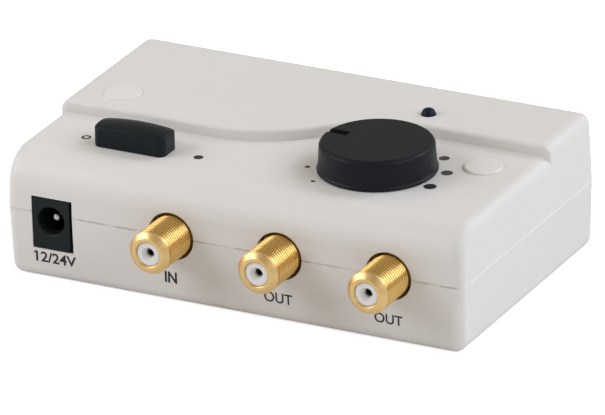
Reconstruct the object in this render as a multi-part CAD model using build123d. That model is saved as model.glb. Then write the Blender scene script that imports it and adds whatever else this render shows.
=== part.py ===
from build123d import *
import os
from math import acos, cos, degrees, radians, sin, sqrt, tan

# Antenna amplifier: a two-shell plastic case with three coaxial sockets and a power socket in front,
# a slide switch, a gain knob and a lamp on top, and the board that they all stand on.
# Millimetres. X runs to the right along the front, Y to the back and Z up.
# The origin is the middle of the case's underside.

# Case
case_width = 108.0
case_depth = 65.0
seam_height = 15.4
deck_height = 28.0
wave_step = 2.7
wall = 2.0
floor_thickness = 2.0
upper_draft = 1.4
lower_draft = 1.7
front_top_radius = 8.0
edge_radius = 2.5
inner_corner = 0.5
seam_bevel = 0.15

# Wave step between the low front deck and the high rear plateau
wave_left_y = -7.5
wave_right_y = 11.1
wave_centre_x = 3.9
wave_radius = 30.0
wave_edge_radius = 0.9

# Tongue of the lower shell, which seats in a rebate of the upper one
lip_height = 1.4
lip_thickness = 0.9
lip_clearance = 0.1

# Board
board_top = 7.4
board_thickness = 1.6
board_side_gap = 1.8
board_end_gap = 0.9
board_corner = 2.0
board_boss_clearance = 0.6
post_radius = 2.8
lead_clearance = 0.15
lead_length = 2.4
post_side_inset = 3.7
post_rear_inset = 4.1
post_right_inset = 7.6
post_front_inset = 3.2
post_jack_offset = 16.1
board_screw_radius = 1.25
board_screw_length = 6.0
board_screw_head_radius = 2.3
board_screw_head_height = 1.5

# Screws that hold the case together, and the caps over them
screw_inset = 11.1
screw_y = 1.0
screw_radius = 1.5
screw_length = 20.0
screw_head_radius = 2.8
screw_head_height = 2.0
screw_clearance = 0.2
thread_clearance = 0.02
cap_radius = 4.1
cap_clearance = 0.06
cap_thickness = 2.2
cap_dome = 0.45
cap_round = 0.25
cap_left_proud = 0.2
cap_right_proud = 0.4
cap_over_head = 0.15
pillar_wall = 1.2
boss_radius = 3.7

# Coaxial sockets: 3/8 inch thread outside, aligned on the seam
socket_middle_x = 11.3
socket_pitch = 25.6
socket_radius = 4.72
socket_reach = 10.4
socket_nose_round = 0.9
socket_neck_radius = 4.45
socket_neck_gap = 0.35
socket_hole_radius = 5.4
socket_bore_radius = 2.72
socket_collar_radius = 5.6
socket_collar_thickness = 1.2
socket_collar_gap = 0.4
socket_block_width = 10.4
socket_block_depth = 9.0
socket_block_rise = 5.0
socket_block_bevel = 1.5
socket_leg_radius = 0.5
socket_leg_inset = 1.3
insulator_recess = 0.35
funnel_radius = 1.55
funnel_depth = 1.1
contact_radius = 0.9
contact_bore_radius = 0.5
contact_recess = 1.9
contact_clearance = 0.03
contact_leg_radius = 0.45
contact_slot = 0.3

# Power socket
jack_inset = 10.9
jack_width = 8.9
jack_height = 11.5
jack_depth = 14.4
jack_flange_depth = 3.4
jack_body_height = 10.0
jack_recess = 0.1
jack_bore_radius = 3.15
jack_bore_depth = 9.6
jack_bore_rise = 6.4
jack_bore_bevel = 0.25
jack_pin_radius = 1.0
jack_pin_recess = 2.2
jack_tab_width = 3.0
jack_tab_thickness = 0.8
jack_window_offset = 0.35
jack_window_width = 9.7
jack_window_low = 7.1
jack_window_high = 19.1
spring_thickness = 0.4
spring_width = 2.6

# Slide switch
switch_x = -28.1
switch_y = -18.7
switch_travel = 3.0
switch_gap = 0.15
switch_cap_length = 17.0
switch_cap_width = 6.7
switch_cap_corner = 1.7
switch_cap_height = 5.1
switch_arch_radius = 54.0
switch_crown_radius = 9.5
switch_cap_round = 0.45
switch_stem_length = 6.0
switch_stem_width = 4.2
switch_slot_clearance = 0.3
switch_housing_length = 12.8
switch_housing_width = 6.8
switch_housing_height = 5.6
switch_lever_length = 3.0
switch_lever_width = 2.4
switch_lever_rise = 4.4
switch_lever_root = 2.2
switch_lever_clearance = 0.05
switch_socket_depth = 3.0
switch_pin_pitch = 4.4
switch_pin_radius = 0.4

# Gain knob and the potentiometer under it
knob_x = 22.8
knob_y = -8.5
knob_gap = 0.25
knob_height = 6.35
knob_skirt_radius = 12.9
knob_skirt_height = 0.75
knob_foot_radius = 12.6
knob_rim_radius = 12.3
knob_round = 1.1
knob_wall = 1.5
knob_roof = 1.7
knob_hub_radius = 5.2
knob_rib_thickness = 1.0
knob_rib_count = 6
pointer_angle = 176.0
pointer_width = 2.2
pointer_depth = 0.8
pointer_start = 7.0
shaft_radius = 3.0
shaft_fit = 0.05
shaft_flat = 1.6
shaft_top_gap = 0.3
shaft_hole_radius = 4.0
pot_radius = 8.2
pot_base_thickness = 1.4
pot_can_height = 7.2
pot_can_wall = 0.8
bush_radius = 3.6
bush_height = 6.0
wiper_radius = 6.6
wiper_thickness = 1.4
pot_tag_pitch = 5.0
pot_tag_reach = 3.6
pot_tag_width = 0.9
pot_tag_thickness = 0.5

# Lamp
lamp_x = 22.4
lamp_y = 16.6
lamp_radius = 1.48
lamp_clearance = 0.15
lamp_flange_radius = 1.95
lamp_flange_thickness = 1.0
lamp_proud = 2.0
lamp_lead_pitch = 1.27
lamp_lead_size = 0.5
lamp_spacer_radius = 2.4

# Screening can and the radio parts under it
can_x = -6.5
can_y = 5.5
can_length = 29.0
can_depth = 35.0
can_height = 9.0
sheet = 0.4
can_lid_clearance = 0.05
can_lid_skirt = 2.0
core_radius = 3.2
core_hole_radius = 1.2
core_height = 3.0

# Power parts, placed from the board's left edge
capacitor_radius = 4.0
capacitor_height = 11.5
capacitor_inset = 16.7
capacitor_low_y = -6.5
capacitor_pitch = 10.5
choke_radius = 4.2
choke_height = 7.0
choke_cheek = 1.2
choke_inset = 23.7
choke_y = 19.0
rectifier_y = -12.6
rectifier_length = 4.3
rectifier_width = 2.6
rectifier_height = 2.1
rectifier_pitch = 6.5
regulator_inset = 15.2
regulator_y = 18.5
regulator_length = 6.1
regulator_width = 6.6
regulator_height = 2.3
regulator_tab_width = 5.3
regulator_tab_length = 1.6
regulator_leg_pitch = 4.56
regulator_leg_width = 0.8
regulator_leg_length = 2.6
lead_thickness = 0.5

# Small surface parts
chip_length = 2.0
chip_width = 1.25
resistor_height = 0.6
ceramic_height = 1.1
chip_pitch = 3.5
edge_chip_inset = 10.2
edge_chip_y = -10.0
rear_chip_y = 26.0
transistor_length = 4.5
transistor_width = 2.5
transistor_height = 1.5
transistor_tab_length = 1.2
transistor_tab_width = 1.7

front_y = -case_depth / 2
plateau_height = deck_height + wave_step
screw_x = case_width / 2 - screw_inset
jack_x = jack_inset - case_width / 2
jack_window_x = jack_x + jack_window_offset
board_width = case_width - 2 * (wall + board_side_gap)
board_depth = case_depth - 2 * (wall + board_end_gap)
board_left = -board_width / 2
board_posts = ((post_side_inset - board_width / 2, board_depth / 2 - post_rear_inset),
               (board_width / 2 - post_side_inset, board_depth / 2 - post_rear_inset),
               (board_width / 2 - post_side_inset, post_right_inset - board_depth / 2),
               (jack_x + post_jack_offset, post_front_inset - board_depth / 2))
socket_xs = [socket_middle_x + socket_pitch * step for step in (-1, 0, 1)]
socket_names = ["in_socket", "out_socket_1", "out_socket_2"]
board_bottom = board_top - board_thickness
lead_end = board_bottom - lead_length
half_turn = degrees(acos(1 - (wave_right_y - wave_left_y) / (2 * wave_radius)))
switch_rest_x = switch_x - switch_travel / 2


def rod(radius, low, high, x=0.0, y=0.0):
    """An upright round bar between two heights."""
    return Pos(x, y, low) * extrude(Circle(radius), high - low)


def rod_y(radius, front, back, x=0.0, z=0.0):
    """A round bar that lies along Y between two depths."""
    plane = Plane(origin=(x, front, z), x_dir=(1, 0, 0), z_dir=(0, 1, 0))
    return extrude(plane * Circle(radius), back - front)


def block(x_low, x_high, y_low, y_high, z_low, z_high):
    """A plain block between two corners."""
    size = (x_high - x_low, y_high - y_low, z_high - z_low)
    middle = ((x_low + x_high) / 2, (y_low + y_high) / 2, (z_low + z_high) / 2)
    return Pos(*middle) * Box(*size)


def centred_block(x, y, length, width, z_low, z_high):
    """A block that is centred on a place of the plan."""
    return block(x - length / 2, x + length / 2, y - width / 2, y + width / 2, z_low, z_high)


def edges_where(shape, keep):
    """The edges whose middle point passes a test."""
    return [edge for edge in shape.edges() if keep(edge.position_at(0.5))]


def inner(radius, inset):
    """A corner's radius on a form that is moved inwards, down to the least that is moulded."""
    return max(radius - inset, inner_corner)


def upper_form(inset, top):
    """The rounded outer form of the upper shell up to one height, moved inwards by an inset."""
    width = case_width - 2 * inset
    depth = case_depth - 2 * inset
    height = top - inset
    lean = (height - seam_height) * tan(radians(upper_draft)) + 0.1
    plan = Plane.XY.offset(seam_height) * Rectangle(width, depth)
    form = extrude(plan, height - seam_height, taper=upper_draft)
    front_edge = edges_where(form, lambda p: p.Z > height - 0.01 and p.Y < lean - depth / 2)
    form = fillet(front_edge, inner(front_top_radius, inset))
    others = edges_where(form, lambda p: p.Z > seam_height + 0.01
                         and (abs(p.X) > width / 4 or p.Y > 0))
    return fillet(others, inner(edge_radius, inset))


def wave_face(shift):
    """The plan of everything behind the wave: two straight stretches joined by two tangent arcs."""
    run = wave_radius * sin(radians(half_turn))
    far = case_width
    left = (wave_centre_x - run, wave_left_y + shift)
    middle_y = (wave_left_y + wave_right_y) / 2 + shift
    right = (wave_centre_x + run, wave_right_y + shift)
    rise = TangentArc(left, (wave_centre_x, middle_y), tangent=(1, 0))
    outline = [Line((-far, wave_left_y + shift), left), rise,
               TangentArc((wave_centre_x, middle_y), right, tangent=rise % 1),
               Line(right, (far, wave_right_y + shift)),
               Line((far, wave_right_y + shift), (far, case_depth)),
               Line((far, case_depth), (-far, case_depth)),
               Line((-far, case_depth), (-far, wave_left_y + shift))]
    return make_face(Curve() + outline)


def plateau_form(inset):
    """The high rear part of the upper shell, cut in front along the wave."""
    cutter = Pos(0, 0, seam_height - 1) * extrude(wave_face(inset), plateau_height)
    return upper_form(inset, plateau_height) & cutter


def on_crest(point):
    return point.Z > plateau_height - 0.05 and wave_left_y - 0.5 < point.Y < wave_right_y + 0.5


def wave_form():
    """The whole outer form of the upper shell, with the wave's crest rounded."""
    high = plateau_form(0)
    crest = edges_where(high, on_crest)
    return fillet(crest, wave_edge_radius) + upper_form(0, deck_height)


def lower_form(inset, low):
    """The drafted outer form of the lower shell, moved inwards by an inset."""
    plan = Plane(origin=(0, 0, seam_height), x_dir=(1, 0, 0), z_dir=(0, 0, -1)) \
        * Rectangle(case_width - 2 * inset, case_depth - 2 * inset)
    form = extrude(plan, seam_height - low, taper=lower_draft)
    outer = edges_where(form, lambda p: p.Z < seam_height - 0.01)
    return fillet(outer, inner(edge_radius, inset))


def seam_outline(inset):
    """The case's plan at the seam, moved inwards by an inset."""
    plan = Rectangle(case_width - 2 * inset, case_depth - 2 * inset)
    return fillet(plan.vertices(), inner(edge_radius, inset))


def front_openings():
    """The holes in the front wall: three round ones on the seam and the power socket's window."""
    inner = front_y + 3 * wall
    cutters = rod_y(socket_hole_radius, front_y - wall, inner, socket_xs[0], seam_height)
    for x in socket_xs[1:]:
        cutters += rod_y(socket_hole_radius, front_y - wall, inner, x, seam_height)
    half = jack_window_width / 2
    return cutters + block(jack_window_x - half, jack_window_x + half, front_y - wall, inner,
                           jack_window_low, jack_window_high)


def screw_places():
    """Each case screw's place, the height of the surface over it and how proud its cap stands."""
    return [(-screw_x, screw_y, plateau_height, cap_left_proud),
            (screw_x, screw_y, deck_height, cap_right_proud)]


def cap_bottom(surface, proud):
    return surface + proud - cap_thickness


def head_seat(surface, proud):
    return cap_bottom(surface, proud) - cap_over_head - screw_head_height


def upper_shell():
    """The moulded top shell with its wave step, pillars, rebate and openings."""
    cavity = upper_form(wall, deck_height) + plateau_form(wall)
    shell = wave_form() - cavity
    rim = chamfer(seam_ring(shell), seam_bevel)
    rebate = Pos(0, 0, seam_height) * extrude(
        seam_outline(wall - lip_thickness - lip_clearance) - seam_outline(wall + 1.0),
        lip_height + lip_clearance)
    shell = rim - rebate
    for x, y, surface, proud in screw_places():
        seat = head_seat(surface, proud)
        pillar = rod(boss_radius, seam_height, surface - wall / 2, x, y)
        well = cap_radius + cap_clearance
        pillar += rod(well + pillar_wall, seat - wall, surface - wall / 2, x, y)
        shell += pillar
        shell -= rod(well, seat, surface + wall, x, y)
        shell -= rod(screw_radius + screw_clearance, seam_height - wall, surface, x, y)
    reach = (switch_stem_length + switch_travel) / 2 + switch_slot_clearance
    side = switch_stem_width / 2 + switch_slot_clearance
    shell -= block(switch_x - reach, switch_x + reach, switch_y - side, switch_y + side,
                   deck_height - 2 * wall, deck_height + wall)
    shell -= rod(shaft_hole_radius, deck_height - 2 * wall, deck_height + wall, knob_x, knob_y)
    shell -= rod(lamp_radius + lamp_clearance, deck_height, plateau_height + wall, lamp_x, lamp_y)
    return shell - front_openings()


def seam_ring(shell):
    """The outer edges of the flat ring in which a shell meets the other one."""
    level = [face for face in shell.faces().filter_by(Axis.Z)
             if abs(face.center().Z - seam_height) < 0.01]
    return level[0].outer_wire().edges()


def lower_bevel():
    """What is cut away round the lower shell's rim to bevel it at the seam."""
    low = seam_height - seam_bevel
    kept = Pos(0, 0, low) * extrude(seam_outline(0), seam_bevel, taper=45)
    return block(-case_width, case_width, -case_depth, case_depth, low, seam_height + wall) - kept


def lower_shell():
    """The moulded bottom shell with its tongue, screw bosses and board posts."""
    shell = lower_form(0, 0) - lower_form(wall, floor_thickness) - lower_bevel()
    tongue = seam_outline(wall - lip_thickness) - seam_outline(wall)
    shell += Pos(0, 0, seam_height - 0.5) * extrude(tongue, lip_height + 0.5)
    for x, y, surface, proud in screw_places():
        shell += rod(boss_radius, floor_thickness - 0.5, seam_height, x, y)
        shell -= rod(screw_radius + thread_clearance, floor_thickness, seam_height + 1, x, y)
    for x, y in board_posts:
        shell += rod(post_radius, floor_thickness - 0.5, board_bottom, x, y)
        shell -= rod(board_screw_radius + thread_clearance, floor_thickness / 2, board_bottom + 1, x, y)
    return shell - front_openings()


def screw_cap(surface, proud):
    """A press-in cap: a domed disc with a short skirt that hides a screw head."""
    low = cap_bottom(surface, proud)
    top = surface + proud
    dome_radius = (cap_radius ** 2 + cap_dome ** 2) / (2 * cap_dome)
    cap = rod(cap_radius, low, top) & Pos(0, 0, top - dome_radius) * Sphere(dome_radius)
    cap = fillet(cap.faces().sort_by(Axis.Z)[-1].edges(), cap_round)
    return cap - rod(cap_radius - pillar_wall, low, low + cap_thickness / 3)


def cross_head_screw(radius, length, head_radius, head_height, seat):
    """A pan-head screw that hangs from its seat, with a cross recess in its head."""
    head = rod(head_radius, seat, seat + head_height)
    head = fillet(edges_where(head, lambda p: p.Z > seat + head_height - 0.01), head_height * 0.4)
    shank = rod(radius, seat - length, seat)
    shank = chamfer(edges_where(shank, lambda p: p.Z < seat - length + 0.01), radius * 0.6)
    arm = head_radius * 1.1
    bar = head_radius * 0.22
    low = seat + head_height * 0.45
    recess = centred_block(0, 0, arm, bar, low, seat + 2 * head_height)
    recess += centred_block(0, 0, bar, arm, low, seat + 2 * head_height)
    return head + shank - recess


def case_screws():
    return [Pos(x, y, 0) * cross_head_screw(screw_radius, screw_length, screw_head_radius,
                                            screw_head_height, head_seat(surface, proud))
            for x, y, surface, proud in screw_places()]


def board_screws():
    return [Pos(x, y, 0) * cross_head_screw(board_screw_radius, board_screw_length,
                                            board_screw_head_radius, board_screw_head_height,
                                            board_top)
            for x, y in board_posts]


def socket_leg_places(x):
    """The four legs of one coaxial socket's block."""
    half = socket_block_width / 2 - socket_leg_inset
    front = socket_block_front() + socket_leg_inset
    back = socket_block_front() + socket_block_depth - socket_leg_inset
    return [(x + side * half, y) for side in (-1, 1) for y in (front, back)]


def socket_block_front():
    return front_y + wall + socket_collar_gap + socket_collar_thickness


def contact_leg_y():
    return socket_block_front() + socket_block_depth / 2 + 1.2


def socket_barrel(x):
    """The plated front of a coaxial socket: the round barrel and the collar behind the case wall."""
    tip = front_y - socket_reach
    back = socket_block_front()
    barrel = rod_y(socket_radius, tip, front_y - socket_neck_gap, x, seam_height)
    barrel = fillet(edges_where(barrel, lambda p: p.Y < tip + 0.01), socket_nose_round)
    barrel += rod_y(socket_neck_radius, tip + socket_reach / 2, back, x, seam_height)
    barrel += rod_y(socket_collar_radius, back - socket_collar_thickness, back, x, seam_height)
    return barrel - rod_y(socket_bore_radius, tip - 1, back + 1, x, seam_height)


def socket_block(x):
    """The block that carries a barrel and stands on the board with four legs."""
    front = socket_block_front()
    body = centred_block(x, front + socket_block_depth / 2, socket_block_width,
                         socket_block_depth, board_top, seam_height + socket_block_rise)
    body = chamfer(body.edges().filter_by(Axis.Y).group_by(Axis.Z)[-1], socket_block_bevel)
    body -= rod_y(socket_bore_radius, front - 1, contact_leg_y() + 1.5 * socket_leg_inset,
                  x, seam_height)
    body -= rod(contact_leg_radius + socket_leg_inset / 2, board_top - 1, seam_height,
                x, contact_leg_y())
    for leg_x, leg_y in socket_leg_places(x):
        body += rod(socket_leg_radius, lead_end, board_top + 1, leg_x, leg_y)
    return body


def socket_insulator(x):
    """The white insulator: a plug in the barrel with a funnel that leads the wire in."""
    front = front_y - socket_reach + insulator_recess
    back = contact_leg_y() - contact_leg_radius - 0.6
    radius = socket_bore_radius - contact_clearance
    plug = rod_y(radius, front, back, x, seam_height)
    plug = fillet(edges_where(plug, lambda p: p.Y < front + 0.01), 0.25)
    plug -= rod_y(contact_radius + contact_clearance, front - 1, back + 1, x, seam_height)
    plane = Plane(origin=(x, front, seam_height), x_dir=(1, 0, 0), z_dir=(0, -1, 0))
    funnel = plane * Pos(0, 0, -funnel_depth / 2) * Cone(contact_radius, funnel_radius, funnel_depth)
    return plug - funnel


def socket_contact(x):
    """The springy tube that grips the cable's wire, with its leg down through the board."""
    front = front_y - socket_reach + contact_recess
    leg_y = contact_leg_y()
    tube = rod_y(contact_radius, front, leg_y + contact_leg_radius, x, seam_height)
    tube -= rod_y(contact_bore_radius, front - 1, leg_y - 3, x, seam_height)
    tube -= block(x - contact_slot / 2, x + contact_slot / 2, front - 1, front + 3,
                  seam_height - 2 * contact_radius, seam_height + 2 * contact_radius)
    return tube + rod(contact_leg_radius, lead_end, seam_height, x, leg_y)


def jack_front():
    return front_y + jack_recess


def jack_axis_z():
    return board_top + jack_bore_rise


def jack_housing():
    """The black body of the power socket: a flange in the window and a lower body behind it."""
    half = jack_width / 2
    front = jack_front()
    body = block(jack_x - half, jack_x + half, front, front + jack_flange_depth,
                 board_top, board_top + jack_height)
    body += block(jack_x - half, jack_x + half, front, front + jack_depth,
                  board_top, board_top + jack_body_height)
    body = chamfer(body.edges().filter_by(Axis.Y).group_by(Axis.Z)[-2], 0.6)
    bore = rod_y(jack_bore_radius, front - 1, front + jack_bore_depth, jack_x, jack_axis_z())
    body -= bore
    mouth = edges_where(body, lambda p: abs(p.Y - front) < 0.01
                        and abs(p.X - jack_x) <= jack_bore_radius + 0.01
                        and abs(p.Z - jack_axis_z()) <= jack_bore_radius + 0.01)
    body = chamfer(mouth, jack_bore_bevel)
    body -= rod_y(jack_pin_radius + contact_clearance, front, front + jack_depth + 1,
                  jack_x, jack_axis_z())
    low = jack_axis_z() - jack_bore_radius
    return body - spring_channel(low)


def spring_channel(low):
    """The slot under the bore that the side spring lies in."""
    half = spring_width / 2 + contact_clearance
    front = jack_front() + jack_flange_depth
    return block(jack_x - half, jack_x + half, front, front + jack_bore_depth - jack_flange_depth,
                 board_top - 1, low + 1.2)


def jack_pin():
    """The round-nosed centre pin with its solder tab behind the body."""
    front = jack_front() + jack_pin_recess
    back = jack_front() + jack_depth
    pin = rod_y(jack_pin_radius, front, back + jack_tab_thickness, jack_x, jack_axis_z())
    pin = fillet(edges_where(pin, lambda p: p.Y < front + 0.01), jack_pin_radius * 0.7)
    half = jack_tab_width / 2
    return pin + block(jack_x - half, jack_x + half, back, back + jack_tab_thickness,
                       lead_end, jack_axis_z() + jack_pin_radius)


def jack_spring_leg():
    """Depth of the spring's own leg along the body."""
    return jack_front() + jack_flange_depth + 0.6


def jack_spring():
    """The bent strip that presses on the plug's sleeve, with its leg through the board."""
    half = spring_width / 2
    front = jack_spring_leg()
    low = jack_axis_z() - jack_bore_radius
    back = jack_front() + jack_bore_depth - 0.4
    strip = Plane.YZ.offset(jack_x - half) * make_face(Polyline(
        (front, lead_end), (front + jack_tab_thickness, lead_end),
        (front + jack_tab_thickness, low - 1.2), (back - 1.6, low - 0.1), (back, low - 1.0),
        (back, low - 1.0 + spring_thickness), (back - 1.6, low - 0.1 + spring_thickness),
        (front + jack_tab_thickness, low - 1.2 + spring_thickness), (front, low - 1.2),
        (front, lead_end)))
    return extrude(strip, spring_width)


def switch_lever_low():
    return board_top + switch_housing_height - switch_lever_root


def switch_cap():
    """The arched, crowned finger bar with a hollow stem down to the switch's lever."""
    low = deck_height + switch_gap
    top = low + switch_cap_height
    half = switch_cap_width
    edge_drop = switch_crown_radius - sqrt(switch_crown_radius ** 2 - half ** 2)
    crown = Plane.YZ * make_face(Curve() + [
        ThreePointArc((-half, top - edge_drop), (0, top), (half, top - edge_drop)),
        Line((half, top - edge_drop), (half, low - 2)), Line((half, low - 2), (-half, low - 2)),
        Line((-half, low - 2), (-half, top - edge_drop))])
    axle = Axis((0, 0, top - switch_arch_radius), (0, 1, 0))
    swing = 2 * degrees(switch_cap_length / switch_arch_radius)
    dome = revolve(crown, axle, revolution_arc=swing).rotate(axle, -swing / 2)
    plan = fillet(Rectangle(switch_cap_length, switch_cap_width).vertices(), switch_cap_corner)
    cap = dome & Pos(0, 0, low) * extrude(plan, 2 * switch_cap_height)
    rim = edges_where(cap, lambda p: p.Z > low + switch_cap_height / 2 and
                      (abs(p.X) > switch_cap_length / 2 - switch_cap_corner
                       or abs(p.Y) > switch_cap_width / 2 - 0.1))
    upper = [edge for edge in rim if edge.length > 0.9
             and abs(edge.position_at(0).Z - edge.position_at(1).Z) < 1.5]
    cap = fillet(upper, switch_cap_round)
    stem_low = board_top + switch_housing_height + switch_lever_rise - switch_socket_depth
    stem = centred_block(0, 0, switch_stem_length, switch_stem_width, stem_low, low + 0.5)
    socket = centred_block(0, 0, switch_lever_length + 2 * switch_lever_clearance,
                           switch_lever_width + 2 * switch_lever_clearance, stem_low,
                           stem_low + switch_socket_depth + switch_lever_clearance)
    return Pos(switch_rest_x, switch_y, 0) * (cap + stem - socket)


def switch_lever():
    """The switch's own lever: a foot that slides in the housing and a post under the cap."""
    low = switch_lever_low()
    top = board_top + switch_housing_height + switch_lever_rise
    post = centred_block(switch_rest_x, switch_y, switch_lever_length, switch_lever_width,
                         low + switch_lever_clearance, top)
    foot = centred_block(switch_rest_x, switch_y, switch_lever_length, switch_lever_width + 1.2,
                         low + switch_lever_clearance, low + switch_lever_root / 2)
    return post + foot


def switch_housing():
    """The metal-clad switch body with the slot that sets the lever's travel."""
    top = board_top + switch_housing_height
    body = centred_block(switch_x, switch_y, switch_housing_length, switch_housing_width,
                         board_top, top)
    body = fillet(body.edges().filter_by(Axis.Z), 0.6)
    run = switch_lever_length + switch_travel + 2 * switch_lever_clearance
    body -= centred_block(switch_x, switch_y, run, switch_lever_width + 2 * switch_lever_clearance,
                          switch_lever_low(), top + 1)
    return body - centred_block(switch_x, switch_y, run,
                                switch_lever_width + 1.2 + 2 * switch_lever_clearance,
                                switch_lever_low(), switch_lever_low() + switch_lever_root / 2
                                + switch_lever_clearance)


def switch_pin_places():
    return [(switch_x + column * switch_pin_pitch, switch_y + row * switch_housing_width / 4)
            for column in (-1, 0, 1) for row in (-1, 1)]


def round_pins(places, radius):
    """Round legs from the board's top face down through it."""
    return [rod(radius, lead_end, board_top, x, y) for x, y in places]


def knob_centre(shape):
    return Pos(knob_x, knob_y, deck_height + knob_gap) * shape


def gain_knob():
    """The hollow round knob: flared skirt, rounded rim, ribbed hub and a notch that points."""
    top = knob_height
    neck = knob_skirt_height
    profile = Plane.XZ * make_face(Curve() + [
        Line((0, 0), (knob_skirt_radius, 0)),
        Line((knob_skirt_radius, 0), (knob_skirt_radius, neck / 2)),
        Line((knob_skirt_radius, neck / 2), (knob_foot_radius, neck)),
        Line((knob_foot_radius, neck), (knob_rim_radius, top)),
        Line((knob_rim_radius, top), (0, top)), Line((0, top), (0, 0))])
    body = revolve(profile, Axis.Z)
    body = fillet(edges_where(body, lambda p: p.Z > top - 0.01), knob_round)
    roof = top - knob_roof
    hollow = rod(knob_rim_radius - knob_wall, -1, roof) - rod(knob_hub_radius, -1, roof)
    spoke = block(knob_hub_radius - 0.5, knob_rim_radius - knob_wall + 0.5,
                  -knob_rib_thickness / 2, knob_rib_thickness / 2, knob_skirt_height, roof + 0.5)
    for step in range(knob_rib_count):
        hollow -= Rot(0, 0, (step + 0.5) * 360 / knob_rib_count) * spoke
    body -= hollow
    body -= d_section(shaft_radius + shaft_fit / 2, shaft_flat + shaft_fit / 2, -1,
                      shaft_top() - deck_height - knob_gap + shaft_top_gap)
    notch = block(pointer_start, knob_skirt_radius + 1, -pointer_width / 2, pointer_width / 2,
                  top - pointer_depth, top + 1)
    return knob_centre(body - Rot(0, 0, pointer_angle) * notch)


def shaft_top():
    return deck_height + knob_gap + knob_height - knob_roof - shaft_top_gap


def d_section(radius, flat, low, high):
    """A round bar with a flat along one side, turned to face the knob's pointer."""
    bar = rod(radius, low, high)
    bar -= block(flat, 2 * radius, -2 * radius, 2 * radius, low - 1, high + 1)
    return Rot(0, 0, pointer_angle) * bar


def pot_can_low():
    return board_top + pot_base_thickness


def pot_can_top():
    return pot_can_low() + pot_can_height


def wiper_low():
    return pot_can_low() + 0.3


def pot_shaft():
    """The steel shaft: round in the bush, with a flat where the knob grips it."""
    split = pot_can_top() + bush_height + 0.5
    low = Pos(knob_x, knob_y, 0) * rod(shaft_radius, wiper_low(), split)
    return low + Pos(knob_x, knob_y, 0) * d_section(shaft_radius, shaft_flat, split, shaft_top())


def pot_wiper():
    """The rotor that carries the wiper fingers, round the foot of the shaft."""
    disc = rod(wiper_radius, wiper_low(), wiper_low() + wiper_thickness)
    disc -= rod(shaft_radius + shaft_fit / 5, 0, deck_height)
    finger = block(shaft_radius + 1, wiper_radius - 0.6, -0.5, 0.5,
                   wiper_low() - 0.25, wiper_low() + 0.2)
    return Pos(knob_x, knob_y, 0) * Rot(0, 0, pointer_angle) * (disc + finger)


def pot_can():
    """The pressed can with its threaded bush, in which the shaft turns."""
    low = pot_can_low()
    top = pot_can_top()
    can = rod(pot_radius, low, top)
    can = fillet(edges_where(can, lambda p: p.Z > top - 0.01), 0.8)
    can -= rod(pot_radius - pot_can_wall, low - 1, top - pot_can_wall)
    can += rod(bush_radius, top - 0.4, top + bush_height)
    return Pos(knob_x, knob_y, 0) * (can - rod(shaft_radius + shaft_fit, low - 1, top + bush_height + 1))


def pot_base():
    """The brown base plate that carries the resistance track and the tags."""
    plate = rod(pot_radius, board_top, pot_can_low(), knob_x, knob_y)
    apron = centred_block(knob_x, knob_y + pot_radius - 1 + pot_tag_reach / 2, 3 * pot_tag_pitch,
                          pot_tag_reach, board_top, pot_can_low())
    base = plate + apron
    for x, y in pot_tag_places():
        base -= centred_block(x, y, pot_tag_width + 2 * contact_clearance,
                              pot_tag_thickness + 2 * contact_clearance, 0, deck_height)
    return base


def pot_tag_places():
    y = knob_y + pot_radius + pot_tag_reach / 2 - 0.6
    return [(knob_x + step * pot_tag_pitch, y) for step in (-1, 0, 1)]


def pot_tags():
    """Three flat tags: each lies on the base plate and turns down through it into the board."""
    tags = []
    for x, y in pot_tag_places():
        top = pot_can_low() + sheet
        leg = centred_block(x, y, pot_tag_width, pot_tag_thickness, lead_end, top)
        tags.append(leg + block(x - pot_tag_width / 2, x + pot_tag_width / 2,
                                knob_y + pot_radius + cap_clearance, y, pot_can_low(), top))
    return tags


def lamp_base():
    return plateau_height - wall - lamp_flange_thickness


def lamp_lens():
    """The lamp's clear body: a flange under the plateau and a round-nosed barrel through it."""
    nose = plateau_height + lamp_proud
    barrel = rod(lamp_radius, lamp_base(), nose)
    barrel = fillet(edges_where(barrel, lambda p: p.Z > nose - 0.01), lamp_radius * 0.62)
    flange = rod(lamp_flange_radius, lamp_base(), lamp_base() + lamp_flange_thickness)
    return Pos(lamp_x, lamp_y, 0) * (barrel + flange)


def lamp_lead_places():
    return [(lamp_x + side * lamp_lead_pitch, lamp_y) for side in (-1, 1)]


def lamp_leads():
    return [centred_block(x, y, lamp_lead_size, lamp_lead_size, lead_end, lamp_base())
            for x, y in lamp_lead_places()]


def lamp_spacer():
    """The tube that holds the lamp up under the plateau, with a channel for each lead."""
    spacer = rod(lamp_spacer_radius, board_top, lamp_base(), lamp_x, lamp_y)
    for x, y in lamp_lead_places():
        spacer -= rod(lamp_lead_size * 0.75 + lead_clearance / 2, 0, plateau_height, x, y)
    return spacer


def can_frame():
    """The open fence of the screening can, with a wall across it between input and outputs."""
    high = board_top + can_height
    fence = centred_block(can_x, can_y, can_length, can_depth, board_top, high)
    fence = fillet(fence.edges().filter_by(Axis.Z), 1.0)
    half = can_length / 2 - sheet
    for side in (-1, 1):
        fence -= centred_block(can_x + side * (half + sheet / 2) / 2, can_y, half - sheet / 2,
                               can_depth - 2 * sheet, board_top - 1, high + 1)
    return fence


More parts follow.
